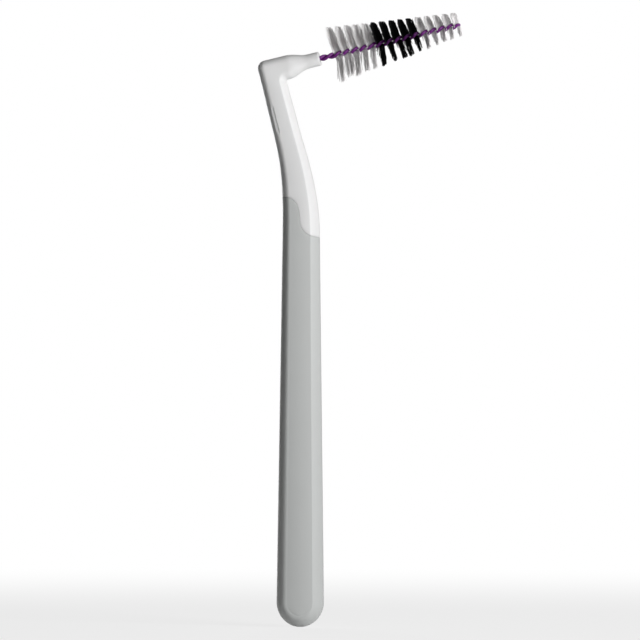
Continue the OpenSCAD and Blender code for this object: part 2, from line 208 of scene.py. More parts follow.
class StageSettings(bpy.types.PropertyGroup):
    """Camera, floor and lamps."""
    view_azimuth: angle("View azimuth", 6, "Turn of the camera towards the brush's tip")
    view_roll: angle("View roll", 0.15, "Tilt of the camera about its own axis")
    pixel: size("Pixel", 0.19, "Width that one pixel of the photograph covers")
    centre_column: amount("Handle column", 301.0, "Photograph column of the grip's centre line")
    base_row: amount("Base row", 627.0, "Photograph row of the grip's lowest point")
    camera_distance: size("Camera distance", 1600, "Distance of the camera")
    lamp_distance: size("Lamp distance", 800, "Distance of the lamps")
    key_turn: angle("Key lamp turn", 47, "Turn of the key lamp from the front towards the tip")
    key_rise: angle("Key lamp rise", 6, "Angle of the key lamp above the handle's middle")
    key_width: size("Key lamp width", 450, "Width of the key lamp")
    key_power: amount("Key lamp", 7.2, "Watts of the lamp at the front right")
    back_turn: angle("Back lamp turn", 195, "Turn of the back lamp from the front towards the tip")
    back_rise: angle("Back lamp rise", 4, "Angle of the back lamp above the handle's middle")
    back_width: size("Back lamp width", 500, "Width of the back lamp")
    back_power: amount("Back lamp", 5.0, "Watts of the lamp behind")
    sky: amount("Sky", 0.1, "Strength of the even light from all round")
    floor_radius: size("Floor radius", 500, "Radius of the floor")
    fade_start: size("Fade start", 80, "Distance at which the floor starts to fade to white")
    fade_end: size("Fade end", 400, "Distance at which the floor has faded to white")
    floor_glow: factor("Floor white", 0.75, "Share of white that the camera sees in the nearby floor")
    card_radius: size("Card radius", 420, "Distance of the dark card")
    card_start: angle("Card start", -78, "Turn at which the card starts, from the front")
    card_end: angle("Card end", -200, "Turn at which the card ends, from the front")
    card_low: angle("Card foot", 0.3, "Height of the card's lower edge, as an angle")
    card_high: angle("Card top", 50, "Height of the card's upper edge, as an angle")


class InterdentalSettings(bpy.types.PropertyGroup):
    """All the settings of the interdental brush."""
    handle: PointerProperty(type=HandleSettings)
    head: PointerProperty(type=HeadSettings)
    brush: PointerProperty(type=BrushSettings)
    finish: PointerProperty(type=FinishSettings)
    stage: PointerProperty(type=StageSettings)


def mix(a, b, t):
    """Linear blend from a to b."""
    return a + (b - a) * t


def smooth(t):
    """Smoothstep: 3t^2 - 2t^3 with t held between 0 and 1."""
    c = np.clip(t, 0, 1)
    return c * c * (3 - 2 * c)


def centre_line(handle, s):
    """Points (x, z) of the handle's centre line and the unit vectors to its left.

    The line runs straight up, then along an arc of bend_radius, then straight on.
    """
    turned = np.clip((s - handle.bend_start) / handle.bend_radius, 0, handle.neck_lean)
    rest = np.maximum(s - handle.bend_start - handle.bend_radius * handle.neck_lean, 0)
    x = -handle.bend_radius * (1 - np.cos(turned)) - rest * np.sin(handle.neck_lean)
    z = (np.minimum(s, handle.bend_start) + handle.bend_radius * np.sin(turned)
         + rest * np.cos(handle.neck_lean))
    return np.stack([x, z], -1), np.stack([-np.cos(turned), -np.sin(turned)], -1)


def brush_rise(settings):
    """Angle by which the brush points above level."""
    return settings.handle.neck_lean - (settings.head.head_angle - math.pi / 2)


def brush_axis(settings):
    """The elbow point, the unit vector along the brush and the one square to it, in x and z."""
    rise = brush_rise(settings)
    elbow = centre_line(settings.handle, np.array(settings.handle.handle_length))[0]
    return elbow, np.array([math.cos(rise), math.sin(rise)]), np.array([-math.sin(rise), math.cos(rise)])


def head_point(settings, u, v):
    """The point u along the brush's axis from the elbow and v square to it."""
    elbow, along, up = brush_axis(settings)
    return elbow + np.multiply.outer(u, along) + np.multiply.outer(v, up)


def nose_place(settings):
    """Matrix from a frame with Z along the brush and its origin on the nose's front."""
    front = head_point(settings, np.array(settings.head.head_reach), np.array(0.0))
    tilt = Matrix.Rotation(math.pi / 2 - brush_rise(settings), 4, "Y")
    return Matrix.Translation((front[0], 0, front[1])) @ tilt


def corner_places(settings):
    """Centres of the corner's outer and inner arcs in the head's frame, its start and its skew.

    The head's upper and lower faces lie half its height from a line head_drop below the axis. Each
    arc touches one of them and an edge of the neck, which leans by the skew. The corner starts
    where the neck's centre line is abreast of the inner arc's centre.
    """
    head = settings.head
    skew = head.head_angle - math.pi / 2
    half, elbow_half = head.head_height / 2, head.elbow_width / 2
    outer_v = half - head.head_drop - head.corner_radius
    outer_u = (head.corner_radius - elbow_half - outer_v * math.sin(skew)) / math.cos(skew)
    inner_v = -half - head.head_drop - head.inner_radius
    inner_u = (elbow_half + head.inner_radius - inner_v * math.sin(skew)) / math.cos(skew)
    start = settings.handle.handle_length - inner_u * math.sin(skew) + inner_v * math.cos(skew)
    return (outer_u, outer_v), (inner_u, inner_v), start, skew


def shaft_shares(handle, s):
    """Shares of the grip and, eased, of the waist above it that lie below a length s."""
    grip = (s - handle.grip_end_height) / (handle.grip_front_height - handle.grip_end_height)
    waist = (s - handle.grip_front_height) / (handle.waist_end - handle.grip_front_height)
    return grip, smooth(waist)


def along_shaft(settings, s, end, top, slim, last):
    """A size along the shaft: linear up the grip, smoothstep down the waist, linear up the neck."""
    handle, start = settings.handle, corner_places(settings)[2]
    grip, waist = shaft_shares(handle, s)
    neck = (s - handle.waist_end) / (start - handle.waist_end)
    above = np.where(s <= handle.waist_end, mix(top, slim, waist), mix(slim, last, neck))
    return np.where(s <= handle.grip_front_height, mix(end, top, grip), above)


def back_round(handle, s):
    """Radius of the back creases: linear up the grip, then smoothstep to the neck's radius."""
    grip, waist = shaft_shares(handle, s)
    low = mix(handle.back_end_round, handle.back_top_round, grip)
    high = mix(handle.back_top_round, handle.neck_round, waist)
    return np.where(s <= handle.grip_front_height, low, high)


def shaft_sizes(settings, s):
    """Width, thickness, bow of the narrow edges and radius of the back creases along the shaft."""
    handle, head = settings.handle, settings.head
    width = along_shaft(settings, s, handle.grip_end_width, handle.grip_top_width,
                        handle.neck_width, head.elbow_width)
    depth = along_shaft(settings, s, handle.grip_end_depth, handle.grip_top_depth,
                        handle.neck_depth, head.head_depth)
    bow = along_shaft(settings, s, handle.grip_end_bow, handle.grip_top_bow,
                      handle.neck_bow, handle.neck_bow)
    return width, depth, bow, back_round(handle, s)


# Segments of each narrow edge, each crease and each broad side
EDGE, CREASE, BROAD = 26, 12, 48
# What a column lies on
ON_EDGE, ON_CREASE, ON_SIDE = 0, 1, 2


def section_columns():
    """What each column of a handle's skin lies on, once round the section from the back edge.

    kind is one of the three above. side is -1 at the back and 1 at the front, face is -1 or 1
    across the handle, and t runs along the column's own stretch.
    """
    edge = np.linspace(1, -1, EDGE + 1)
    opening = np.linspace(0, 1, CREASE + 1)[1:]
    closing = 1 - opening
    broad = np.linspace(-1, 1, BROAD + 1)[1:]
    parts = [
        (ON_EDGE, -1, 0, edge), (ON_CREASE, -1, -1, opening),
        (ON_SIDE, 0, -1, broad), (ON_CREASE, 1, -1, closing),
        (ON_EDGE, 1, 0, -edge[1:]), (ON_CREASE, 1, 1, opening),
        (ON_SIDE, 0, 1, -broad), (ON_CREASE, -1, 1, closing[:-1]),
    ]
    columns = [np.concatenate([np.full(len(p[3]), p[i], float) for p in parts]) for i in range(3)]
    return columns + [np.concatenate([p[3] for p in parts])]


KIND, SIDE, FACE, PLACE = section_columns()
COLUMNS = len(KIND)


def crease_reach(depth, bow, rounding):
    """Radius of the edge's arc, a crease centre's depth behind the rail and the angle where they meet."""
    half = depth / 2
    radius = (half * half + bow * bow) / (2 * bow)
    back = radius - np.sqrt(np.maximum((radius - rounding) ** 2 - (half - rounding) ** 2, 0))
    return radius, back, np.arctan2(half - rounding, radius - back)


def edge_back(depth, bow, rounding):
    """How far each column of an edge or crease lies behind its rail, and its place across."""
    radius, back, reach = crease_reach(depth, bow, rounding)
    q = np.where(KIND == ON_EDGE, PLACE * reach, mix(reach, math.pi / 2, PLACE))
    behind = np.where(KIND == ON_EDGE, radius * (1 - np.cos(q)), back - rounding * np.cos(q))
    sideways = np.where(KIND == ON_EDGE, radius * np.sin(q),
                        FACE * (depth / 2 - rounding + rounding * np.sin(q)))
    return behind, sideways


def skin_rows(left, right, left_out, right_out, depth, bow, round_left, round_right, crown, places):
    """Rows of points round the handle, one section to a row and one column to each place.

    An edge is an arc of radius (h^2 + b^2) / 2b for the half thickness h and the bow b. A crease is
    an arc of its own radius that touches the edge's arc and the broad side. A broad side runs
    straight between its creases and swells by crown * (1 - a^2) for a place a from -1 to 1.
    """
    rounding = np.where(SIDE < 0, round_left, round_right)
    behind, sideways = edge_back(depth, bow, rounding)
    front = (SIDE > 0)[..., None]
    edge = np.where(front, right, left) - np.where(front, right_out, left_out) * behind[..., None]
    start = left - left_out * crease_reach(depth, bow, round_left)[1][..., None]
    stop = right - right_out * crease_reach(depth, bow, round_right)[1][..., None]
    broad = mix(start, stop, (1 + places[..., None]) / 2)
    points = np.where((KIND == ON_SIDE)[..., None], broad, edge)
    y = np.where(KIND == ON_SIDE, FACE * (depth / 2 + crown * (1 - places ** 2)), sideways)
    return np.stack(np.broadcast_arrays(points[..., 0], y, points[..., 1]), -1)


# The S curve's exponent across the handle and the share of its fall that is even
SEAM_POWER, SEAM_SLOPE_SHARE = 2.6, 0.35
# Rounds in which the seam's height and the section at that height are brought to agree
SEAM_PASSES = 12
# A broad side's columns move off the seam less and less sideways within this of a crease, where
# the side runs from -1 to 1
SEAM_HELD = 0.2
# Where the columns begin to leave the seam's places, and over what length, in seam rises
CORE_EVEN_START, GRIP_EVEN_START, GRIP_EVEN_LENGTH = 1.1, 1 / 8, 2
# The notch's ends slope over this many widths of its wall
NOTCH_END_WALLS = 3
# Bow of the tang's narrow edges as a share of its thickness
TANG_BOW_SHARE = 1 / 6
# Rows of points along each stretch of the handle's skins, both of its ends counted
NECK_ROWS, GRIP_ROWS, END_ROWS, TANG_ROWS = 110, 60, 28, 30
CORNER_ROWS, HEAD_ROWS, SHANK_ROWS, RIM_ROWS, SEAM_ROWS = 48, 44, 9, 8, 6


def seam_height(handle, t):
    """Height of the seam for t from -1 at the back to 1 at the front.

    It falls by an even share and a sine share: 0.35 t + 0.65 sin(90 degrees * t).
    """
    fall = SEAM_SLOPE_SHARE * t + (1 - SEAM_SLOPE_SHARE) * np.sin(math.pi / 2 * t)
    return handle.grip_front_height + handle.seam_rise * (1 - fall) / 2


def seam_columns(settings, side):
    """A function that gives every column's height and place at a distance from the seam.

    The curve's offset across is sign(t) |t|^2.6 times the half width, and side is 1 for the core
    above the seam and -1 for the grip below it. The distance is square to the curve on a broad side
    and straight up or down on the edges.
    """
    handle = settings.handle
    half = handle.grip_top_width / 2
    spread = np.sign(PLACE) * PLACE ** 2
    height = np.full(COLUMNS, handle.grip_front_height + handle.seam_rise / 2)
    for _ in range(SEAM_PASSES):
        width, depth, bow, soft = shaft_sizes(settings, height)
        behind = edge_back(depth, bow, np.where(SIDE < 0, soft, handle.front_round))[0]
        back = width / 2 - crease_reach(depth, bow, soft)[1]
        front = width / 2 - crease_reach(depth, bow, handle.front_round)[1]
        broad = mix(-back, front, (1 + spread) / 2)
        offset = np.where(KIND == ON_SIDE, broad, SIDE * (width / 2 - behind))
        t = np.sign(offset) * np.clip(np.abs(offset) / half, 0, 1) ** (1 / SEAM_POWER)
        height = seam_height(handle, t)
    run = half * SEAM_POWER * np.abs(t) ** (SEAM_POWER - 1)
    sine_share = (1 - SEAM_SLOPE_SHARE) * math.pi / 2 * np.cos(math.pi / 2 * t)
    drop = handle.seam_rise / 2 * (SEAM_SLOPE_SHARE + sine_share)
    length = np.hypot(run, drop)
    held = smooth((1 - np.abs(PLACE)) / SEAM_HELD)
    sideways = np.where(KIND == ON_SIDE, drop / length * held * 2 / (back + front), 0)
    upward = np.where(KIND == ON_SIDE, run / length, 1)

    def at(distance):
        """The columns' heights and places, moved from the seam's own by the distance."""
        return height + side * upward * distance, spread + side * sideways * distance
    return at


def shaft_rows(settings, s, places, inset=0.0):
    """Skin rows of the shaft at lengths s of the centre line, drawn in by inset all round.

    The notch holds the broad sides and back creases down to notch_depth below the broad side where
    they lie further back than notch_offset. Smoothsteps lead down its wall and its two ends.
    """
    handle = settings.handle
    centre, left = centre_line(handle, s)
    width, depth, bow, soft = shaft_sizes(settings, s)
    half = (width / 2 - inset)[..., None]
    crown = along_shaft(settings, s, handle.end_crown, handle.top_crown,
                        handle.neck_crown, handle.neck_crown)
    points = skin_rows(centre + left * half, centre - left * half, left, -left, depth - 2 * inset,
                       bow, soft, np.full(np.shape(s), handle.front_round), crown, places)
    offset = ((points[..., [0, 2]] - centre) * left).sum(-1)
    end_slope = NOTCH_END_WALLS * handle.notch_wall
    within = smooth((handle.notch_length / 2 - np.abs(s - handle.notch_middle)) / end_slope)
    dip = handle.notch_depth * within * smooth((offset - handle.notch_offset) / handle.notch_wall)
    limit = np.where(dip > 0, depth / 2 - dip, depth)
    points[..., 1] = np.clip(points[..., 1], -limit, limit)
    return points


def tang_rows(handle, s, room=0.0):
    """Skin rows of the tang at lengths s, with room all round for the socket that holds it."""
    centre, left = centre_line(handle, s)
    half = handle.tang_width / 2 + room
    bow = np.full(np.shape(s), handle.tang_depth * TANG_BOW_SHARE)
    rounding = bow / 2
    depth = np.full(np.shape(s), handle.tang_depth + 2 * room)
    return skin_rows(centre + left * half, centre - left * half, left, -left,
                     depth, bow, rounding, rounding, 0, PLACE)


def tang_sides(foot, top):
    """Rows that run straight from the tang's lower row to its upper one."""
    return mix(foot, top, np.linspace(0, 1, TANG_ROWS)[1:-1, None, None])


def point_row(point):
    """A row whose columns all lie on one point, which closes a skin."""
    return np.broadcast_to(np.array(point, float), (1, COLUMNS, 3))


def seam_rows(settings, side):
    """The tang's row at the seam, the rows of the skin's rounded edge there, and where they end."""
    handle = settings.handle
    at = seam_columns(settings, side)
    inner = tang_rows(handle, at(handle.seam_gap / 2)[0][None], 0.0 if side > 0 else handle.seam_gap / 2)
    rims = []
    for q in np.linspace(0, math.pi / 2, SEAM_ROWS):
        s, places = at(handle.seam_gap / 2 + handle.seam_round * (1 - math.cos(q)))
        inset = handle.seam_round * (1 - math.sin(q))
        rims.append(shaft_rows(settings, s[None], places[None], inset))
    return inner, np.concatenate(rims), s, places


def even_out(places, weight):
    """Column places that go from those of the seam to even ones as weight goes from 0 to 1."""
    return np.where(KIND == ON_SIDE, mix(places, PLACE, weight), places)


# Shares of the corner's rows at which the rounded outer corner starts and ends
ARC_START, ARC_END = 0.3, 0.7
# Bow of the section's edges at the nose as a share of its diameter, nearly half a circle
NOSE_BOW_SHARE = 0.48
# The most that a crease's radius may be of the head's thickness
MOST_CREASE_SHARE = 0.45


def head_rails(settings):
    """Rails of the elbow and the head, and what belongs to each of their rows.

    The left rail goes up the neck, round the outer corner's arc and along the head. The right rail
    goes round the inner corner's fillet. Both then run along the head, whose half height eases to
    the nose's radius while its middle rises by head_drop to the brush's axis. Gives both rails, the
    flare from 0 to 1, the turn round the corner from 0 to 1, and for the rows past the corner their
    distance along the axis and their half height.
    """
    head = settings.head
    outer, inner, _, skew = corner_places(settings)
    t = np.linspace(0, 1, CORNER_ROWS)
    q = mix(math.pi + skew, math.pi / 2, t)
    p = mix(math.pi + skew, math.pi / 2, np.clip((t - ARC_START) / (ARC_END - ARC_START), 0, 1))
    reach = head.inner_radius + head.elbow_width
    foot = head_point(settings, inner[0] - reach * math.cos(skew), inner[1] - reach * math.sin(skew))
    crest = head_point(settings, inner[0], head.head_height / 2 - head.head_drop)
    arc = head_point(settings, outer[0] + head.corner_radius * np.cos(p),
                     outer[1] + head.corner_radius * np.sin(p))
    below, above = (t / ARC_START)[:, None], ((t - ARC_END) / (1 - ARC_END))[:, None]
    after = np.where(above > 0, mix(arc[-1], crest, above), arc)
    left = np.where(below < 1, mix(foot, arc[0], below), after)
    right = head_point(settings, inner[0] + head.inner_radius * np.cos(q),
                       inner[1] + head.inner_radius * np.sin(q))
    shoulder = head.head_reach - head.nose_length
    u = np.linspace(inner[0], shoulder, HEAD_ROWS)[1:]
    flare = smooth((u - (shoulder - head.flare_length)) / head.flare_length)
    half = mix(head.head_height / 2, head.nose_diameter / 2, flare)
    middle = head_point(settings, u, -head.head_drop * (1 - flare))
    across = half[:, None] * brush_axis(settings)[2]
    left = np.concatenate([left, middle + across])
    right = np.concatenate([right, middle - across])
    flare = np.concatenate([np.zeros(len(t)), flare])
    turn = np.concatenate([t, np.ones(len(u))])
    return left, right, flare, turn, u, half


def rail_out(rail, side):
    """Unit vectors that point out of the material, square to a rail's direction at each row."""
    d = np.gradient(rail, axis=0)
    d /= np.linalg.norm(d, axis=-1, keepdims=True)
    return side * np.stack([-d[:, 1], d[:, 0]], -1)


def nose_circles(settings, u, radius, turn):
    """Circles about the brush's axis at distances u from the elbow, one column to each turn."""
    middle = head_point(settings, u, 0 * u)[:, None]
    ring = middle + (radius[:, None] * np.cos(turn))[..., None] * brush_axis(settings)[2]
    y = radius[:, None] * np.sin(turn)
    return np.stack([ring[..., 0], y, ring[..., 1]], -1)


def column_turns(settings, rows):
    """Angle of every point about the brush's axis, from straight up towards +Y."""
    elbow, _, up = brush_axis(settings)
    return np.arctan2(rows[..., 1], (rows[..., [0, 2]] - elbow) @ up)


def head_taper(settings, points):
    """Thins the head towards its flare: a smoothstep along the brush's axis times one up the neck."""
    head = settings.head
    elbow, along, up = brush_axis(settings)
    place = points[..., [0, 2]] - elbow
    half = head.elbow_width / 2
    start = head.head_reach - head.nose_length - head.flare_length
    outward = smooth((place @ along + half) / (start + half))
    upward = smooth((place @ up + head.head_height) / head.head_height)
    points[..., 1] *= 1 - (1 - head.flare_depth / head.head_depth) * outward * upward
    return points


def head_rows(settings):
    """Rows of the elbow and the head: sections on the rails that turn into circles at the nose.

    Each point of the flare goes straight towards the point of a circle that lies at its own angle.
    """
    handle, head = settings.handle, settings.head
    left, right, flare, turn, u, half = head_rails(settings)
    depth = mix(head.head_depth, head.nose_diameter, flare)[:, None]
    bow = mix(handle.neck_bow, head.nose_diameter * NOSE_BOW_SHARE, flare)[:, None]
    most = MOST_CREASE_SHARE * depth
    # The outer crease only widens past the corner, or its centre would cross the corner's own
    past = smooth((turn[:, None] - ARC_END) / (1 - ARC_END))
    soft = np.minimum(mix(handle.neck_round, head.head_round, past), most)
    crisp = np.minimum(mix(handle.front_round, head.head_round, smooth(turn[:, None])), most)
    rows = skin_rows(left[:, None], right[:, None], rail_out(left, 1)[:, None],
                     rail_out(right, -1)[:, None], depth, bow, soft, crisp,
                     handle.neck_crown * (1 - flare[:, None]), PLACE[None])
    rows = head_taper(settings, rows)
    first = len(rows) - len(u)
    rings = nose_circles(settings, u, half, column_turns(settings, rows[first:]))
    rows[first:] = mix(rows[first:], rings, flare[first:, None, None])
    return rows


def nose_rows(settings, turn):
    """Rows of the cylindrical nose, its rounded rim, its front and the wire's socket."""
    head, brush = settings.head, settings.brush
    tip, radius, lip = head.head_reach, head.nose_diameter / 2, head.nose_rim / 2
    # The socket's radius is the twisted pair's, with half a filament layer to spare
    bore = brush.steel_diameter + 2 * brush.coating + brush.layer / 2
    shank = np.linspace(tip - head.nose_length, tip - head.nose_rim, SHANK_ROWS)[1:]
    q = np.linspace(0, math.pi / 2, RIM_ROWS)[1:]
    floor = tip - head.socket_depth
    u = np.concatenate([
        shank, tip - head.nose_rim * (1 - np.sin(q)), tip - lip * (1 - np.cos(q)), [floor]])
    r = np.concatenate([
        np.full(len(shank), radius), radius - head.nose_rim * (1 - np.cos(q)),
        bore + lip * (1 - np.sin(q)), [bore]])
    x, z = head_point(settings, np.array(floor), np.array(0.0))
    return np.concatenate([nose_circles(settings, u, r, turn), point_row([x, 0, z])])


# Distances under which a skin's points are merged and its slivers dissolved
MERGE, SLIVER = 0.0005 * MM, 0.0001 * MM


def grid_faces(rows, columns, rows_close=False, columns_close=True):
    """Four-sided faces of a grid of points, which may close on itself in either direction."""
    i, j = np.meshgrid(np.arange(rows if rows_close else rows - 1),
                       np.arange(columns if columns_close else columns - 1), indexing="ij")
    here, after = i * columns, (i + 1) % rows * columns
    beside = (j + 1) % columns
    return np.stack([here + j, here + beside, after + beside, after + j], -1).reshape(-1, 4)


def link_mesh(name, points, faces, material):
    """An object in the scene with a mesh of the points, faces and material."""
    mesh = bpy.data.meshes.new(name)
    mesh.from_pydata(np.asarray(points).reshape(-1, 3), [], faces)
    mesh.materials.append(material)
    thing = bpy.data.objects.new(name, mesh)
    bpy.context.scene.collection.objects.link(thing)
    return thing


def link_piece(name, points, faces, node, material):
    """A smooth mesh piece in the frame that stands for a CAD node."""
    piece = link_mesh(name, points, faces.tolist(), material)
    piece.data.shade_smooth()
    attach(piece, "root")
    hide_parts(node)
    return piece


def skin_piece(name, rows, node, material):
    """Joins rows of columns into one closed skin whose faces point outwards."""
    piece = link_piece(name, rows, grid_faces(len(rows), COLUMNS), node, material)
    work = bmesh.new()
    work.from_mesh(piece.data)
    bmesh.ops.remove_doubles(work, verts=work.verts, dist=MERGE)
    bmesh.ops.dissolve_degenerate(work, edges=work.edges, dist=SLIVER)
    bmesh.ops.recalc_face_normals(work, faces=work.faces)
    work.to_mesh(piece.data)
    work.free()
    piece.data.shade_smooth()
    return piece


def build_core(settings, material):
    """The white core: tang, neck, elbow, head, nose and the wire's socket in one skin."""
    handle = settings.handle
    inner, rim, s, places = seam_rows(settings, 1)
    neck = mix(s[None], corner_places(settings)[2], np.linspace(0, 1, NECK_ROWS)[1:-1, None])
    weight = smooth((neck - handle.grip_front_height) / handle.seam_rise - CORE_EVEN_START)
    foot = tang_rows(handle, np.full((1, COLUMNS), handle.tang_bottom))
    elbow = head_rows(settings)
    rows = [
        point_row([0, 0, handle.tang_bottom]), foot, tang_sides(foot, inner), inner, rim,
        head_taper(settings, shaft_rows(settings, neck, even_out(places[None], weight))),
        elbow, nose_rows(settings, column_turns(settings, elbow[-1]))]
    return skin_piece("handle_core_skin", np.concatenate(rows), "handle_core", material)


def build_grip(settings, material):
    """The grey grip: its socket for the tang, the seam's edge, the long sides and the round end.

    Seen from the side the end is half an ellipse. Its front creases widen to the back ones' radius
    with the cube of the ellipse's sine.
    """
    handle = settings.handle
    inner, rim, s, places = seam_rows(settings, -1)
    side = mix(s[None], handle.grip_end_height, np.linspace(0, 1, GRIP_ROWS)[1:, None])
    below = (handle.grip_front_height - side) / handle.seam_rise
    weight = smooth((below - GRIP_EVEN_START) / GRIP_EVEN_LENGTH)
    q = np.linspace(math.pi / 2, 0, END_ROWS)[1:]
    half = handle.grip_end_width / 2
    left = np.stack([-half * np.sin(q), handle.grip_end_height * (1 - np.cos(q))], -1)
    out = np.stack([-handle.grip_end_height * np.sin(q), -half * np.cos(q)], -1)
    out /= np.linalg.norm(out, axis=-1, keepdims=True)
    mirror = np.array([-1, 1])
    same = np.ones((len(q), 1))
    front_round = mix(handle.back_end_round, handle.front_round, np.sin(q)[:, None] ** 3)
    end = skin_rows(left[:, None], (left * mirror)[:, None], out[:, None], (out * mirror)[:, None],
                    handle.grip_end_depth * same, handle.grip_end_bow * same,
                    handle.back_end_round * same, front_round, handle.end_crown * np.sin(q)[:, None],
                    PLACE[None])
    room = handle.seam_gap / 2
    bottom = handle.tang_bottom - room
    foot = tang_rows(handle, np.full((1, COLUMNS), bottom), room)
    rows = [
        point_row([0, 0, bottom]), foot, tang_sides(foot, inner), inner, rim,
        shaft_rows(settings, side, even_out(places[None], weight)), end]
    return skin_piece("handle_grip_skin", np.concatenate(rows), "handle_grip", material)


# Direction along the brush in the nose's frame
ALONG = np.array([0, 0, 1.0])
# Rows of the coat's tube along a leg and round the fold, and points round the tube
LEG_ROWS, FOLD_ROWS, COAT_SIDES = 300, 18, 16
# Length over which the legs part at the first filament, and how far past the sections they fold
PARTING, FOLD_MARGIN = 0.5 * MM, 0.05 * MM


def twist_angle(brush, z):
    """Angle of the plane between the wires at a distance z from the nose, from up towards +Y.

    It makes one turn in each pitch and stands upright in the middle of the first upright blade.
    """
    return 2 * math.pi * (z - brush.first_upright) / brush.twist_pitch


def spoke(q):
    """Unit vector square to the brush's axis at angle q from straight up, in the nose's frame."""
    return np.stack([-np.cos(q), np.sin(q), 0 * q], -1)


def sections_end(brush):
    """Distance from the nose to the end of the filament sections, but for those in the fold."""
    return brush.bare_wire + brush.rear_length + brush.middle_length + brush.tip_length


def build_wire_coat(settings, material):
    """The coat of the folded wire: one tube up a leg, round the fold and down the other leg.

    A leg is a helix about the brush's axis at half the pair's spacing, square to the filaments.
    The legs touch where the wire is bare, and the first filaments part them over half a millimetre.
    The fold is half a circle, and the tube's outer and inner walls close on each other at its ends.
    """
    brush = settings.brush
    radius = brush.steel_diameter / 2 + brush.coating
    front = sections_end(brush) + FOLD_MARGIN
    z = np.linspace(-settings.head.socket_depth, front, LEG_ROWS)
    outward = spoke(twist_angle(brush, z) + math.pi / 2)
    parted = smooth((z - brush.bare_wire) / PARTING + 0.5)
    leg = outward * (radius + brush.layer / 2 * parted)[:, None] + z[:, None] * ALONG
    q = np.linspace(0, math.pi, FOLD_ROWS)[1:-1, None]
    fold_out = outward[-1] * np.cos(q) + ALONG * np.sin(q)
    fold = fold_out * (radius + brush.layer / 2) + front * ALONG
    path = np.concatenate([leg, fold, (leg * np.array([-1, -1, 1]))[::-1]])
    normal = np.concatenate([outward, fold_out, -outward[::-1]])
    tangent = np.gradient(path, axis=0)
    tangent /= np.linalg.norm(tangent, axis=-1, keepdims=True)
    side = np.cross(tangent, normal)
    side /= np.linalg.norm(side, axis=-1, keepdims=True)
    normal = np.cross(side, tangent)
    a = np.linspace(0, 2 * math.pi, COAT_SIDES, endpoint=False)
    ring = normal[:, None] * np.cos(a)[:, None] + side[:, None] * np.sin(a)[:, None]
    outer = path[:, None] + radius * ring
    inner = path[:, None] + brush.steel_diameter / 2 * ring
    skin = np.concatenate([outer, inner[::-1]])
    faces = grid_faces(len(skin), COAT_SIDES, rows_close=True)
    piece = link_piece("wire_coat", skin, faces, "wire_coating", material)
    piece.data.transform(nose_place(settings))
    return piece


# More tufts and more blades than the longest brush has on one side
TUFTS, BLADES = 400, 60
# A filament stands by chance between these shares of its own stretch of the wire
STRETCH_LOW, STRETCH_HIGH = 0.1, 0.9
# Where the upper blades are widest and how far that reaches, as shares of the rear section
SWELL_MIDDLE, SWELL_REACH = 0.68, 0.27
# The lower blades narrow over the first 1 / 2.5 of the brush
SQUEEZE_RATE = 2.5
# A filament's shift along the wire is done within the first quarter of its length
SHIFT_RATE = 4
# Chance changes of lean against those of turn, and bends along the brush against bends beside it
LEAN_CHANCE, BEND_CHANCE = 0.6, 0.7
# Shares of a filament's length at which its rings lie, and of its thickness that they have
RING_PLACES = np.array([0.02, 0.13, 0.26, 0.5, 0.75, 0.985, 1.0])
RING_WIDTHS = np.array([1.0, 1.0, 1.0, 0.97, 0.93, 0.88, 0.45])
FILAMENT_SIDES = 4


def filament_roots(brush, rng, first, length, per_millimetre, thinning):
    """Each filament's place along the wire, its side, its turn and its distance from its blade.

    The turn is the twist's angle q, with half a turn more on side 1, less
    gather / 2 * sin(2 (q - gather_turn)), which draws the filaments into blades. A share
    thinning * sin(turn)^4 of them is left out, which is most where they are square to the blades.
    """
    count = int(length / MM * per_millimetre)
    chance = rng.uniform(STRETCH_LOW, STRETCH_HIGH, count)
    place = first + (np.arange(count) + chance) / count * length
    place = np.concatenate([place, place])
    side = np.repeat([0, 1], count)
    turn = twist_angle(brush, place)
    aside = ((turn + math.pi / 2) % math.pi - math.pi / 2) / (2 * math.pi) * brush.twist_pitch
    turn = turn + side * math.pi
    turn = turn - brush.gather / 2 * np.sin(2 * (turn - brush.gather_turn))
    kept = rng.uniform(0, 1, 2 * count) > thinning * np.sin(turn) ** 4
    return place[kept], side[kept], turn[kept], aside[kept]


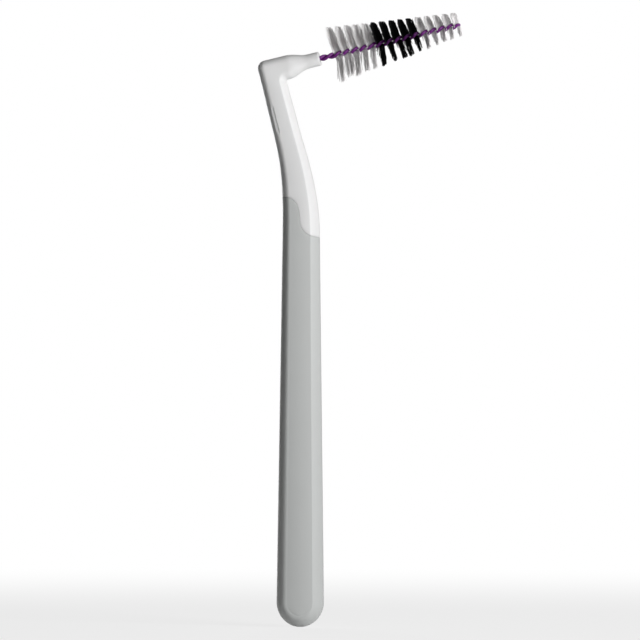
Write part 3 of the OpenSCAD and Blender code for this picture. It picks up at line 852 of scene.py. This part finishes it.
def filament_lines(brush, rng, place, side, turn, aside):
    """Each filament's turn, length, lean and shift along the wire.

    The length goes evenly from the rear radius to the tip's, and an upper blade is trimmed round by
    the cube of the distance from its middle and by its square towards the tip. The lean swings with
    the turn and grows for the lower filaments at the rear. The shift widens the upper blades, and
    it narrows the lower ones and moves them nearer the tip. Tufts, lower blades and single
    filaments stray by chance, more so below the wire.
    """
    count = len(place)
    tuft = (place / brush.tuft).astype(int) + side * TUFTS
    tuft_lean, tuft_turn = rng.normal(0, 1, (2, 2 * TUFTS))
    blade = np.rint(2 * (place - brush.first_upright) / brush.twist_pitch).astype(int) + side * BLADES
    blade_lean, blade_trim = np.random.default_rng(brush.seed).normal(0, 1, (2, 2 * BLADES))
    from_rear = place - brush.bare_wire
    share = from_rear / (sections_end(brush) - brush.bare_wire)
    low = (1 - np.cos(turn)) / 2
    swell = np.exp(-((from_rear / brush.rear_length - SWELL_MIDDLE) / SWELL_REACH) ** 2)
    spread = mix(brush.upper_spread + brush.rear_spread * swell,
                 -brush.lower_squeeze * smooth(SQUEEZE_RATE * share), low)
    shift = low * brush.lower_shift + (spread + brush.root_squeeze) * aside
    ragged = 1 + brush.lower_ragged * low
    turn = (turn + brush.tuft_stray * ragged * tuft_turn[tuft]
            + brush.filament_stray * rng.normal(0, 1, count))
    upper = np.maximum(np.cos(turn), 0)
    reach = mix(brush.rear_radius, brush.tip_radius, share) + share * brush.trim_offset * upper
    edge = 4 * aside / brush.twist_pitch
    trimmed = brush.blade_round * np.abs(edge) ** 3 + brush.blade_slope * np.maximum(edge, 0) ** 2
    reach = reach * (1 - trimmed * upper)
    reach = reach * (1 - brush.blade_trim * low * np.abs(blade_trim[blade]))
    reach = reach * (1 - brush.uneven_trim * ragged * np.abs(rng.normal(0, 1, count)))
    rearmost = np.clip(1 - from_rear / brush.rear_length, 0, 1)
    lean = (brush.lean + brush.swing * np.cos(turn - brush.swing_turn) + low * rearmost * brush.rear_lean
            + low * brush.blade_stray * blade_lean[blade]
            + brush.tuft_stray * ragged * tuft_lean[tuft]
            + brush.filament_stray * rng.normal(0, LEAN_CHANCE, count))
    return turn, reach, lean, shift


def build_filaments(settings, name, first, length, per_millimetre, thinning, node, material, number):
    """One section of filaments, each a tapered four-sided tube from the wire to its free end.

    A filament's point at distance r from the wire is
    root + r * (direction + bend * (r / length)^2) + shift * smooth(4 r / length),
    where the direction is its turn's spoke leaned back, and the root is drawn towards its blade's
    middle. The UV map holds a chance value across and the share of the filament's length along.
    """
    brush = settings.brush
    rng = np.random.default_rng(brush.seed + number)
    place, side, turn, aside = filament_roots(brush, rng, first, length, per_millimetre, thinning)
    turn, reach, lean, shift = filament_lines(brush, rng, place, side, turn, aside)
    n = len(place)
    beside = spoke(turn + math.pi / 2)
    direction = spoke(turn) - ALONG * np.tan(lean)[:, None]
    root = ((place - brush.root_squeeze * aside)[:, None] * ALONG
            + beside * (rng.uniform(-0.5, 0.5, n) * brush.layer)[:, None])
    bend = beside * rng.normal(0, 1, n)[:, None] + ALONG * rng.normal(0, BEND_CHANCE, n)[:, None]
    bent = direction[:, None] + brush.bend_share * bend[:, None] * (RING_PLACES ** 2)[:, None]
    middle = root[:, None] + (reach[:, None] * RING_PLACES)[..., None] * bent
    middle = middle + (shift[:, None] * smooth(SHIFT_RATE * RING_PLACES))[..., None] * ALONG
    a = np.linspace(0, 2 * math.pi, FILAMENT_SIDES, endpoint=False) + math.pi / FILAMENT_SIDES
    ring = beside[:, None, None] * np.cos(a)[:, None] + ALONG * np.sin(a)[:, None]
    tube = middle[:, :, None] + brush.filament / 2 * RING_WIDTHS[:, None, None] * ring
    rings = len(RING_PLACES)
    start = (np.arange(n) * rings * FILAMENT_SIDES)[:, None]
    walls = (start[..., None] + grid_faces(rings, FILAMENT_SIDES)).reshape(-1, FILAMENT_SIDES)
    cap = np.arange(FILAMENT_SIDES)
    faces = np.concatenate([walls, start + cap[::-1], start + (rings - 1) * FILAMENT_SIDES + cap])
    piece = link_piece(name, tube, faces, node, material)
    chance = np.broadcast_to(rng.uniform(0, 1, n)[:, None, None], tube.shape[:3]).reshape(-1)
    along = np.broadcast_to(RING_PLACES[None, :, None], tube.shape[:3]).reshape(-1)
    corners = faces.reshape(-1)
    layer = piece.data.uv_layers.new(name="strand")
    layer.uv.foreach_set("vector", np.stack([chance[corners], along[corners]], -1).reshape(-1))
    piece.data.transform(nose_place(settings))
    return piece


WHITE = (1, 1, 1, 1)
# The colour sockets of a Mix node, whose names its other sockets share
MIX_A, MIX_B, MIX_RESULT = 6, 7, 2


def add(tree, kind, sockets=None, **options):
    """Adds a node with its options; a socket is given a value or the output that feeds it."""
    node = tree.nodes.new(kind)
    for key, value in options.items():
        setattr(node, key, value)
    for key, value in (sockets or {}).items():
        if isinstance(value, bpy.types.NodeSocket):
            tree.links.new(value, node.inputs[key])
        else:
            node.inputs[key].default_value = value
    return node


def new_material(name):
    """An empty node material and its tree."""
    material = bpy.data.materials.new(name)
    material.use_nodes = True
    material.node_tree.nodes.clear()
    return material, material.node_tree


def tone(colour, share=1):
    """A colour times a share, held to 1, with the alpha of 1 that a colour socket takes."""
    return [min(c * share, 1) for c in colour] + [1]


def moulded_polypropylene(finish):
    """White polypropylene, injection moulded in a finely eroded tool.

    The eye gets an even satin white, faintly cloudy inside, whose gloss breaks up on the grain.
    """
    material, tree = new_material("moulded_white_polypropylene")
    place = add(tree, "ShaderNodeTexCoord").outputs["Object"]
    cloud = add(tree, "ShaderNodeTexNoise", {"Vector": place, "Scale": 1 / (6 * MM), "Detail": 2.0})
    # The tool's grain is about 0.03 mm, too fine to show, so it is drawn at 0.25 mm
    grain = add(tree, "ShaderNodeTexNoise", {"Vector": place, "Scale": 1 / (0.25 * MM), "Detail": 3.0})
    rough = add(tree, "ShaderNodeMapRange", {
        "Value": grain.outputs[0], "From Min": 0.3, "From Max": 0.7, "To Min": 0.34, "To Max": 0.44})
    bump = add(tree, "ShaderNodeBump", {
        "Height": grain.outputs[0], "Strength": 0.25, "Distance": 0.006 * MM})
    colour = add(tree, "ShaderNodeMix", {
        "Factor": cloud.outputs[0], MIX_A: tone(finish.core, 0.97), MIX_B: tone(finish.core)},
        data_type="RGBA")
    shader = add(tree, "ShaderNodeBsdfPrincipled", {
        "Base Color": colour.outputs[MIX_RESULT],
        "Roughness": rough.outputs[0], "IOR": 1.49, "Specular IOR Level": 0.3,
        "Normal": bump.outputs[0], "Subsurface Weight": 0.6, "Subsurface Radius": (1.0, 1.0, 1.0),
        "Subsurface Scale": 1.5 * MM})
    add(tree, "ShaderNodeOutputMaterial", {"Surface": shader.outputs[0]})
    return material


def moulded_elastomer(finish):
    """Grey thermoplastic elastomer, moulded over the core in a matte tool.

    The eye gets a soft, dry grey with a broad sheen and a fine even grain, and no hard highlight.
    Its tone is a little uneven over 9 mm or so, as the filler settles in the flow.
    """
    material, tree = new_material("moulded_grey_elastomer")
    place = add(tree, "ShaderNodeTexCoord").outputs["Object"]
    cloud = add(tree, "ShaderNodeTexNoise", {"Vector": place, "Scale": 1 / (9 * MM), "Detail": 3.0})
    # The tool's grain is about 0.05 mm, too fine to show, so it is drawn at 0.3 mm
    grain = add(tree, "ShaderNodeTexNoise", {"Vector": place, "Scale": 1 / (0.3 * MM), "Detail": 4.0})
    rough = add(tree, "ShaderNodeMapRange", {
        "Value": grain.outputs[0], "From Min": 0.3, "From Max": 0.7, "To Min": 0.46, "To Max": 0.58})
    bump = add(tree, "ShaderNodeBump", {
        "Height": grain.outputs[0], "Strength": 0.4, "Distance": 0.01 * MM})
    colour = add(tree, "ShaderNodeMix", {
        "Factor": cloud.outputs[0], MIX_A: tone(finish.grip, 0.965), MIX_B: tone(finish.grip)},
        data_type="RGBA")
    shader = add(tree, "ShaderNodeBsdfPrincipled", {
        "Base Color": colour.outputs[MIX_RESULT],
        "Roughness": rough.outputs[0], "IOR": 1.5, "Specular IOR Level": 0.35,
        "Normal": bump.outputs[0]})
    add(tree, "ShaderNodeOutputMaterial", {"Surface": shader.outputs[0]})
    return material


def drawn_wire_coat(finish):
    """Purple polymer coat, drawn on to the wire and slightly glossy.

    The eye gets a deep colour with a soft highlight along each strand and small changes of depth.
    """
    material, tree = new_material("drawn_purple_wire_coat")
    place = add(tree, "ShaderNodeTexCoord").outputs["Object"]
    depth = add(tree, "ShaderNodeTexNoise", {"Vector": place, "Scale": 1 / (0.8 * MM), "Detail": 3.0})
    # The coat's own grain is about 0.02 mm, too fine to show, so it is drawn at 0.2 mm
    grain = add(tree, "ShaderNodeTexNoise", {"Vector": place, "Scale": 1 / (0.2 * MM), "Detail": 2.0})
    bump = add(tree, "ShaderNodeBump", {
        "Height": grain.outputs[0], "Strength": 0.3, "Distance": 0.008 * MM})
    colour = add(tree, "ShaderNodeMix", {
        "Factor": depth.outputs[0], MIX_A: tone(finish.coat, 0.8), MIX_B: tone(finish.coat, 1.15)},
        data_type="RGBA")
    shader = add(tree, "ShaderNodeBsdfPrincipled", {
        "Base Color": colour.outputs[MIX_RESULT],
        "Roughness": 0.35, "IOR": 1.52, "Specular IOR Level": 0.25, "Normal": bump.outputs[0],
        "Coat Weight": 0.1, "Coat Roughness": 0.2})
    add(tree, "ShaderNodeOutputMaterial", {"Surface": shader.outputs[0]})
    return material


def drawn_steel(finish):
    """Stainless steel, drawn to wire.

    The eye gets a bright grey metal with small dull spots, where the die has scratched it.
    """
    material, tree = new_material("drawn_stainless_steel")
    place = add(tree, "ShaderNodeTexCoord").outputs["Object"]
    # The die's scratches are about 0.01 mm wide, too fine to show, so they are drawn as 0.1 mm spots
    scratch = add(tree, "ShaderNodeTexNoise", {"Vector": place, "Scale": 1 / (0.1 * MM), "Detail": 4.0})
    rough = add(tree, "ShaderNodeMapRange", {
        "Value": scratch.outputs[0], "From Min": 0.3, "From Max": 0.7, "To Min": 0.2, "To Max": 0.38})
    colour = add(tree, "ShaderNodeMix", {
        "Factor": scratch.outputs[0], MIX_A: tone(finish.steel, 0.92), MIX_B: tone(finish.steel)},
        data_type="RGBA")
    shader = add(tree, "ShaderNodeBsdfPrincipled", {
        "Base Color": colour.outputs[MIX_RESULT], "Metallic": 1.0, "Roughness": rough.outputs[0]})
    add(tree, "ShaderNodeOutputMaterial", {"Surface": shader.outputs[0]})
    return material


def extruded_nylon(name, nylon, darkest, transmission, roughness, gloss):
    """Nylon filament, extruded and drawn, so it is smooth and round, and see-through where undyed.

    The eye gets glints along each filament, neighbours that differ in tone, and paler cut ends.
    """
    material, tree = new_material(name)
    strand = add(tree, "ShaderNodeUVMap", uv_map="strand")
    place = add(tree, "ShaderNodeSeparateXYZ", {"Vector": strand.outputs[0]})
    cut = add(tree, "ShaderNodeMapRange", {
        "Value": place.outputs["Y"], "From Min": 0.9, "From Max": 1.0, "To Min": 0.0, "To Max": 0.25})
    pale = add(tree, "ShaderNodeMath", {0: place.outputs["X"], 1: cut.outputs[0]},
               operation="ADD", use_clamp=True)
    colour = add(tree, "ShaderNodeMix", {
        "Factor": pale.outputs[0], MIX_A: tone(nylon, darkest), MIX_B: tone(nylon)}, data_type="RGBA")
    shader = add(tree, "ShaderNodeBsdfPrincipled", {
        "Base Color": colour.outputs[MIX_RESULT],
        "Roughness": roughness, "IOR": 1.53, "Transmission Weight": transmission,
        "Specular IOR Level": gloss})
    add(tree, "ShaderNodeOutputMaterial", {"Surface": shader.outputs[0]})
    return material


def white_to_camera(tree):
    """1 for the rays that show the surroundings: from the camera, off gloss and through clear parts."""
    path = add(tree, "ShaderNodeLightPath")
    seen = add(tree, "ShaderNodeMath", {
        0: path.outputs["Is Camera Ray"], 1: path.outputs["Is Glossy Ray"]}, operation="MAXIMUM")
    shown = add(tree, "ShaderNodeMath", {
        0: seen.outputs[0], 1: path.outputs["Is Transmission Ray"]}, operation="MAXIMUM")
    return shown.outputs[0]


def painted_floor(settings):
    """Pale paint that fades to white far from the object, so that no edge of the floor shows."""
    stage = settings.stage
    material, tree = new_material("painted_pale_floor")
    paint = add(tree, "ShaderNodeBsdfDiffuse", {"Color": tone(settings.finish.floor)})
    glow = add(tree, "ShaderNodeEmission", {"Color": WHITE, "Strength": 1.0})
    place = add(tree, "ShaderNodeTexCoord").outputs["Object"]
    away = add(tree, "ShaderNodeVectorMath", {0: place}, operation="LENGTH").outputs["Value"]
    fade = add(tree, "ShaderNodeMapRange", {
        "Value": away, "From Min": stage.fade_start, "From Max": stage.fade_end,
        "To Min": stage.floor_glow, "To Max": 1.0}, interpolation_type="SMOOTHSTEP")
    faded = add(tree, "ShaderNodeMath", {
        0: white_to_camera(tree), 1: fade.outputs[0]}, operation="MULTIPLY")
    blend = add(tree, "ShaderNodeMixShader", {
        0: faded.outputs[0], 1: paint.outputs[0], 2: glow.outputs[0]})
    add(tree, "ShaderNodeOutputMaterial", {"Surface": blend.outputs[0]})
    return material


def matte_card(finish):
    """Matte dark card, which gives back almost no light."""
    material, tree = new_material("matte_dark_card")
    paint = add(tree, "ShaderNodeBsdfDiffuse", {"Color": tone(finish.card)})
    add(tree, "ShaderNodeOutputMaterial", {"Surface": paint.outputs[0]})
    return material


# Rings and spokes of the floor's disc, and points up and round the card
FLOOR_RINGS, FLOOR_SPOKES = 6, 96
CARD_ROWS, CARD_COLUMNS = 15, 33


def build_floor(settings):
    """A plain pale floor that keeps a soft shadow: a disc of rings round the handle's end."""
    r = settings.stage.floor_radius * np.linspace(0, 1, FLOOR_RINGS + 1)[1:, None]
    q = np.linspace(0, 2 * math.pi, FLOOR_SPOKES, endpoint=False)
    disc = np.stack([r * np.cos(q), r * np.sin(q), 0 * r * q], -1).reshape(-1, 3)
    quads = 1 + grid_faces(FLOOR_RINGS, FLOOR_SPOKES)[:, ::-1]
    centre = [[0, 1 + n, 1 + (n + 1) % FLOOR_SPOKES] for n in range(FLOOR_SPOKES)]
    floor = link_mesh("floor", np.concatenate([[[0, 0, 0]], disc]), quads.tolist() + centre,
                      painted_floor(settings))


def build_card(settings):
    """A dark card at the back left, which keeps the white surroundings off the back edge's gloss.

    It is a part of a sphere round the object: radius * (cos e sin q, -cos e cos q, sin e) for turns
    q and heights e. The camera and clear parts don't see it, and it casts no shadow.
    """
    stage = settings.stage
    q = np.linspace(stage.card_start, stage.card_end, CARD_COLUMNS)
    e = np.linspace(stage.card_low, stage.card_high, CARD_ROWS)[:, None]
    points = stage.card_radius * np.stack(np.broadcast_arrays(
        np.cos(e) * np.sin(q), -np.cos(e) * np.cos(q), np.sin(e)), -1)
    faces = grid_faces(CARD_ROWS, CARD_COLUMNS, columns_close=False)
    card = link_mesh("dark_card", points, faces.tolist(), matte_card(settings.finish))
    card.visible_camera = card.visible_transmission = card.visible_shadow = False


def build_world(settings, scene):
    """Even light from all round, which shows as plain white behind the object."""
    world = bpy.data.worlds.new("white_surroundings")
    world.use_nodes = True
    tree = world.node_tree
    tree.nodes.clear()
    strength = add(tree, "ShaderNodeMapRange", {
        "Value": white_to_camera(tree), "To Min": settings.stage.sky, "To Max": 1.0})
    glow = add(tree, "ShaderNodeBackground", {"Color": WHITE, "Strength": strength.outputs[0]})
    add(tree, "ShaderNodeOutputWorld", {"Surface": glow.outputs[0]})
    scene.world = world


def build_lamps(settings, scene):
    """Soft square lamps that face the object's middle, placed by compass turn and height."""
    stage = settings.stage
    middle = Vector((0, 0, settings.handle.handle_length / 2))
    lamps = (("key_lamp", stage.key_turn, stage.key_rise, stage.key_width, stage.key_power),
             ("back_lamp", stage.back_turn, stage.back_rise, stage.back_width, stage.back_power))
    for name, q, e, width, power in lamps:
        lamp = bpy.data.lights.new(name, "AREA")
        lamp.shape, lamp.size, lamp.energy = "SQUARE", width, power
        away = Vector((math.sin(q) * math.cos(e), -math.cos(q) * math.cos(e), math.sin(e)))
        holder = bpy.data.objects.new(name, lamp)
        holder.location = middle + away * stage.lamp_distance
        holder.rotation_euler = away.to_track_quat("Z", "Y").to_euler()
        scene.collection.objects.link(holder)


def build_camera(settings, scene):
    """A long lens at the photograph's angle, framed so that one pixel covers its stated width."""
    stage = settings.stage
    right = Vector((math.cos(stage.view_azimuth), math.sin(stage.view_azimuth), 0))
    back = Vector((math.sin(stage.view_azimuth), -math.cos(stage.view_azimuth), 0))
    up = Vector((0, 0, 1))
    half = PHOTO_SIDE / 2
    middle = (right * (half - stage.centre_column) + up * (stage.base_row - half)) * stage.pixel
    lens = bpy.data.cameras.new("camera")
    lens.lens = lens.sensor_width * stage.camera_distance / (PHOTO_SIDE * stage.pixel)
    lens.clip_start = 10 * MM
    camera = bpy.data.objects.new("camera", lens)
    camera.location = middle + back * stage.camera_distance
    roll = Matrix.Rotation(stage.view_roll, 3, "Z").to_quaternion()
    camera.rotation_euler = (back.to_track_quat("Z", "Y") @ roll).to_euler()
    scene.collection.objects.link(camera)
    scene.camera = camera


class INTERDENTAL_OT_core(bpy.types.Operator):
    """Build the white core with its nose, head, neck and tang"""
    bl_idname = "interdental.core"
    bl_label = "Build core"

    def execute(self, context):
        settings = context.scene.interdental
        build_core(settings, moulded_polypropylene(settings.finish))
        return {"FINISHED"}


class INTERDENTAL_OT_grip(bpy.types.Operator):
    """Build the grey grip round the core's tang"""
    bl_idname = "interdental.grip"
    bl_label = "Build grip"

    def execute(self, context):
        settings = context.scene.interdental
        build_grip(settings, moulded_elastomer(settings.finish))
        return {"FINISHED"}


class INTERDENTAL_OT_wire(bpy.types.Operator):
    """Build the wire's coat and finish the steel inside it"""
    bl_idname = "interdental.wire"
    bl_label = "Build wire"

    def execute(self, context):
        settings = context.scene.interdental
        build_wire_coat(settings, drawn_wire_coat(settings.finish))
        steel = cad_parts["wire_core"].data
        steel.materials.clear()
        steel.materials.append(drawn_steel(settings.finish))
        return {"FINISHED"}


class INTERDENTAL_OT_filaments(bpy.types.Operator):
    """Build the three sections of filaments"""
    bl_idname = "interdental.filaments"
    bl_label = "Build filaments"

    def execute(self, context):
        settings = context.scene.interdental
        brush, finish = settings.brush, settings.finish
        white = extruded_nylon("extruded_white_nylon", finish.white_nylon, darkest=0.78,
                               transmission=0.3, roughness=0.35, gloss=0.5)
        black = extruded_nylon("extruded_black_nylon", finish.black_nylon, darkest=0.5,
                               transmission=0.0, roughness=0.5, gloss=0.05)
        sections = (
            ("rear_filaments", brush.rear_length, brush.rear_per_millimetre, brush.thinning,
             "rear_bristles", "white_nylon", white),
            ("middle_filaments", brush.middle_length, brush.black_per_millimetre, 0.0,
             "middle_bristles", "black_nylon", black),
            ("tip_filaments", brush.tip_length + brush.fold_filaments, brush.tip_per_millimetre,
             brush.thinning, "tip_bristles", "white_nylon", white))
        first = brush.bare_wire
        for number, (name, length, density, thinning, node, slot, material) in enumerate(sections):
            build_filaments(settings, name, first, length, density, thinning, node, material, number)
            first += length
        return {"FINISHED"}


class INTERDENTAL_OT_stage(bpy.types.Operator):
    """Set up the floor, the white surroundings, the lamps and the camera"""
    bl_idname = "interdental.stage"
    bl_label = "Build stage"

    def execute(self, context):
        settings = context.scene.interdental
        build_floor(settings)
        build_card(settings)
        build_world(settings, context.scene)
        build_lamps(settings, context.scene)
        build_camera(settings, context.scene)
        context.scene.view_settings.view_transform = "Standard"
        return {"FINISHED"}


class INTERDENTAL_PT_panel(bpy.types.Panel):
    """Settings and steps of the interdental brush"""
    bl_idname = "INTERDENTAL_PT_panel"
    bl_label = "Interdental brush"
    bl_space_type = "VIEW_3D"
    bl_region_type = "UI"
    bl_category = "Brush"

    def draw(self, context):
        settings = context.scene.interdental
        for step in STEPS:
            self.layout.operator(step.bl_idname)
        for group in (settings.handle, settings.head, settings.brush, settings.finish, settings.stage):
            box = self.layout.box()
            for name in group.bl_rna.properties.keys():
                if name not in ("rna_type", "name"):
                    box.prop(group, name)


STEPS = (INTERDENTAL_OT_core, INTERDENTAL_OT_grip, INTERDENTAL_OT_wire,
         INTERDENTAL_OT_filaments, INTERDENTAL_OT_stage)
CLASSES = (HandleSettings, HeadSettings, BrushSettings, FinishSettings, StageSettings,
           InterdentalSettings, *STEPS, INTERDENTAL_PT_panel)


def register():
    """Registers the classes and gives each scene its settings."""
    for item in CLASSES:
        bpy.utils.register_class(item)
    bpy.types.Scene.interdental = PointerProperty(type=InterdentalSettings)


def unregister():
    """Takes the settings and the classes away again."""
    del bpy.types.Scene.interdental
    for item in reversed(CLASSES):
        bpy.utils.unregister_class(item)


def main():
    """Builds the object and its stage."""
    register()
    bpy.ops.interdental.core()
    bpy.ops.interdental.grip()
    bpy.ops.interdental.wire()
    bpy.ops.interdental.filaments()
    bpy.ops.interdental.stage()


if __name__ == "__main__":
    main()
